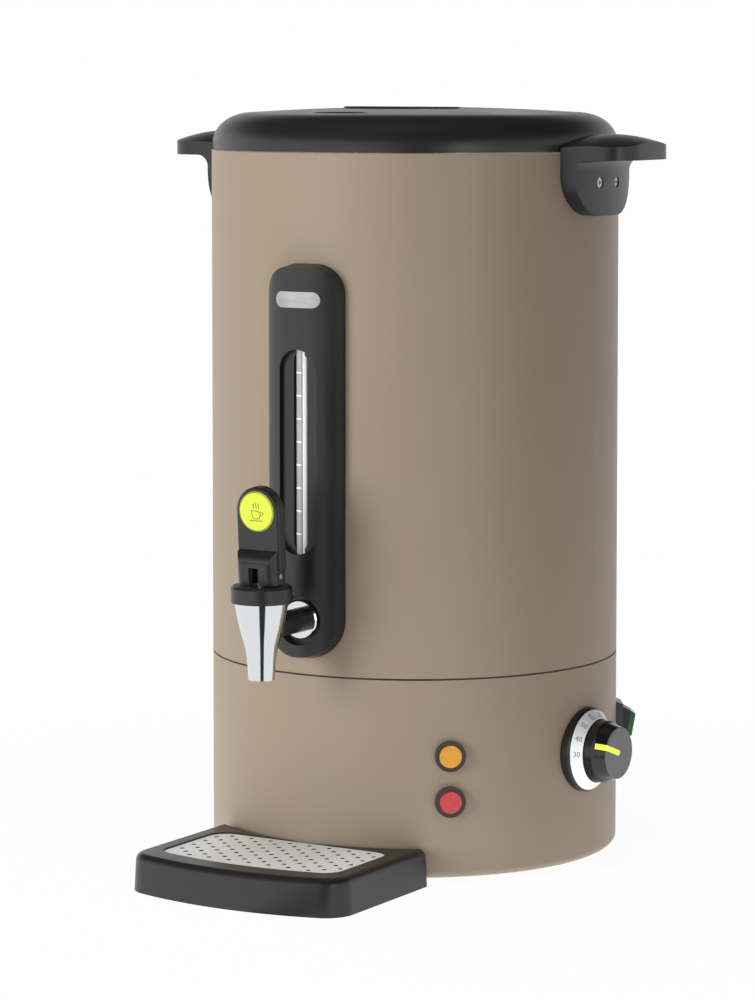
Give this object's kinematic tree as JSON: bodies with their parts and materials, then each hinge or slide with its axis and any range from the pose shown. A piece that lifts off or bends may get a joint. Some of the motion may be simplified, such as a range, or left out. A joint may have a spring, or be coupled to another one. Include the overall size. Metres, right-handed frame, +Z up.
{
  "type": "hot water urn",
  "caption": "Double-walled electric hot water urn with lift-off lid, side grips, level gauge, lever tap, thermostat dial, rocker switch and drip tray with a grid.",
  "frame": {"origin": "on the upright axis of the round body, at the level of the surface that it stands on", "axes": "+Z up; the tap, level gauge and drip tray face -Y; the thermostat knob is on the +X side; the cable inlet is at the back, +Y"},
  "size_m": [0.363, 0.399, 0.5074],
  "materials": {
    "taupe_paint": "satin powder coat",
    "black_plastic": "fine matt moulded",
    "gloss_black": "gloss",
    "stainless": "brushed",
    "zinc_steel": "zinc plated",
    "chrome": "polished chrome",
    "brass": "plain",
    "aluminium": "cast",
    "black_rubber": "matt",
    "silicone": "translucent white silicone",
    "gauge_glass": "clear",
    "white_print": "printed white and grey",
    "silver_ring": "satin anodised with grey numbers",
    "yellow_print": "satin",
    "grey_plastic": "matt",
    "white_ceramic": "plain",
    "amber_lens": "transparent amber",
    "red_lens": "transparent red",
    "green_lens": "transparent green",
    "yellow_pointer": "satin"
  },
  "bodies": {
    "urn": {"upper_casing": "taupe_paint", "base_casing": "taupe_paint", "joint_ring": "black_plastic", "tank": "stainless", "tank_studs": "zinc_steel", "deck_plate": "zinc_steel", "tie_rods": "zinc_steel", "base_plate": "zinc_steel", "chassis_screws": "zinc_steel", "feet": "black_rubber", "heat_spreader": "aluminium", "heating_element": "stainless", "thermostat_bulb": "brass", "handle_right": "black_plastic", "handle_left": "black_plastic", "handle_screws": "zinc_steel", "backing_plates": "zinc_steel", "gauge_bezel": "black_plastic", "label_plate": "stainless", "gauge_tube": "gauge_glass", "gauge_strip": "white_print", "tube_foot": "black_plastic", "tube_cap": "black_plastic", "tube_seals": "silicone", "tap_shank": "black_plastic", "tap_nut": "chrome", "shank_spacer": "black_plastic", "shank_washer": "silicone", "lock_nut": "stainless", "tap_cup": "chrome", "tap_bonnet": "black_plastic", "valve_spring": "stainless", "dial_base": "gloss_black", "dial_ring": "silver_ring", "thermostat_body": "grey_plastic", "panel_screws": "zinc_steel", "lamp_bezels": "black_plastic", "amber_lens": "amber_lens", "red_lens": "red_lens", "switch_frame": "black_plastic", "cable_gland": "black_plastic", "gland_nut": "black_plastic", "terminal_block": "white_ceramic", "dry_boil_cutout": "grey_plastic"},
    "lid_seal": {"lid_seal": "silicone"},
    "lid": {"lid": "black_plastic", "lid_liner": "black_plastic"},
    "stem": {"valve_stem": "stainless", "valve_seal": "silicone", "lever_pin": "stainless"},
    "lever": {"lever": "black_plastic", "lever_badge": "yellow_print"},
    "knob": {"knob": "gloss_black", "knob_pointer": "yellow_pointer", "thermostat_spindle": "zinc_steel"},
    "rocker": {"switch_rocker": "black_plastic", "rocker_light": "green_lens"},
    "tray": {"drip_tray": "black_plastic"},
    "grid": {"drip_grid": "stainless"},
    "button": {"reset_button": "red_lens"}
  },
  "joints": [
    {"name": "lid_lift", "type": "slide", "parent": "urn", "child": "lid_seal", "axis": [0, 0, 1], "range_m": [0, 0.15]},
    {"name": "lid_turn", "type": "hinge", "parent": "lid_seal", "child": "lid", "pos_m": [0, 0, 0.49], "axis": [0, 0, 1], "range_deg": [0, 30]},
    {"name": "stem_lift", "type": "slide", "parent": "urn", "child": "stem", "axis": [0, 0, 1], "range_m": [0, 0.0037], "deforming": ["valve_spring"]},
    {"name": "lever_tilt", "type": "hinge", "parent": "stem", "child": "lever", "pos_m": [0, -0.195, 0.208], "axis": [1, 0, 0], "range_deg": [0, 35], "stiffness_Nm_per_rad": 0.12, "springref_deg": -25.21},
    {"name": "knob_turn", "type": "hinge", "parent": "urn", "child": "knob", "pos_m": [0.13869, -0.00921, 0.0782], "axis": [0.9978, -0.0663, 0], "range_deg": [-182, 20]},
    {"name": "rocker_tilt", "type": "hinge", "parent": "urn", "child": "rocker", "pos_m": [0.11958, 0.07472, 0.0829], "axis": [-0.5299, 0.848, 0], "range_deg": [-20, 0]},
    {"name": "tray_slide", "type": "slide", "parent": "urn", "child": "tray", "axis": [0, -1, 0], "range_m": [0, 0.12]},
    {"name": "grid_lift", "type": "slide", "parent": "tray", "child": "grid", "axis": [0, 0, 1], "range_m": [0, 0.05]},
    {"name": "reset_press", "type": "slide", "parent": "urn", "child": "button", "axis": [0, 0, 1], "range_m": [0, 0.002], "stiffness_N_per_m": 300, "springref_m": -0.001}
  ],
  "couplings": [
    {"joint": "stem_lift", "follows": "lever_tilt", "m_per_rad": 0.006}
  ]
}
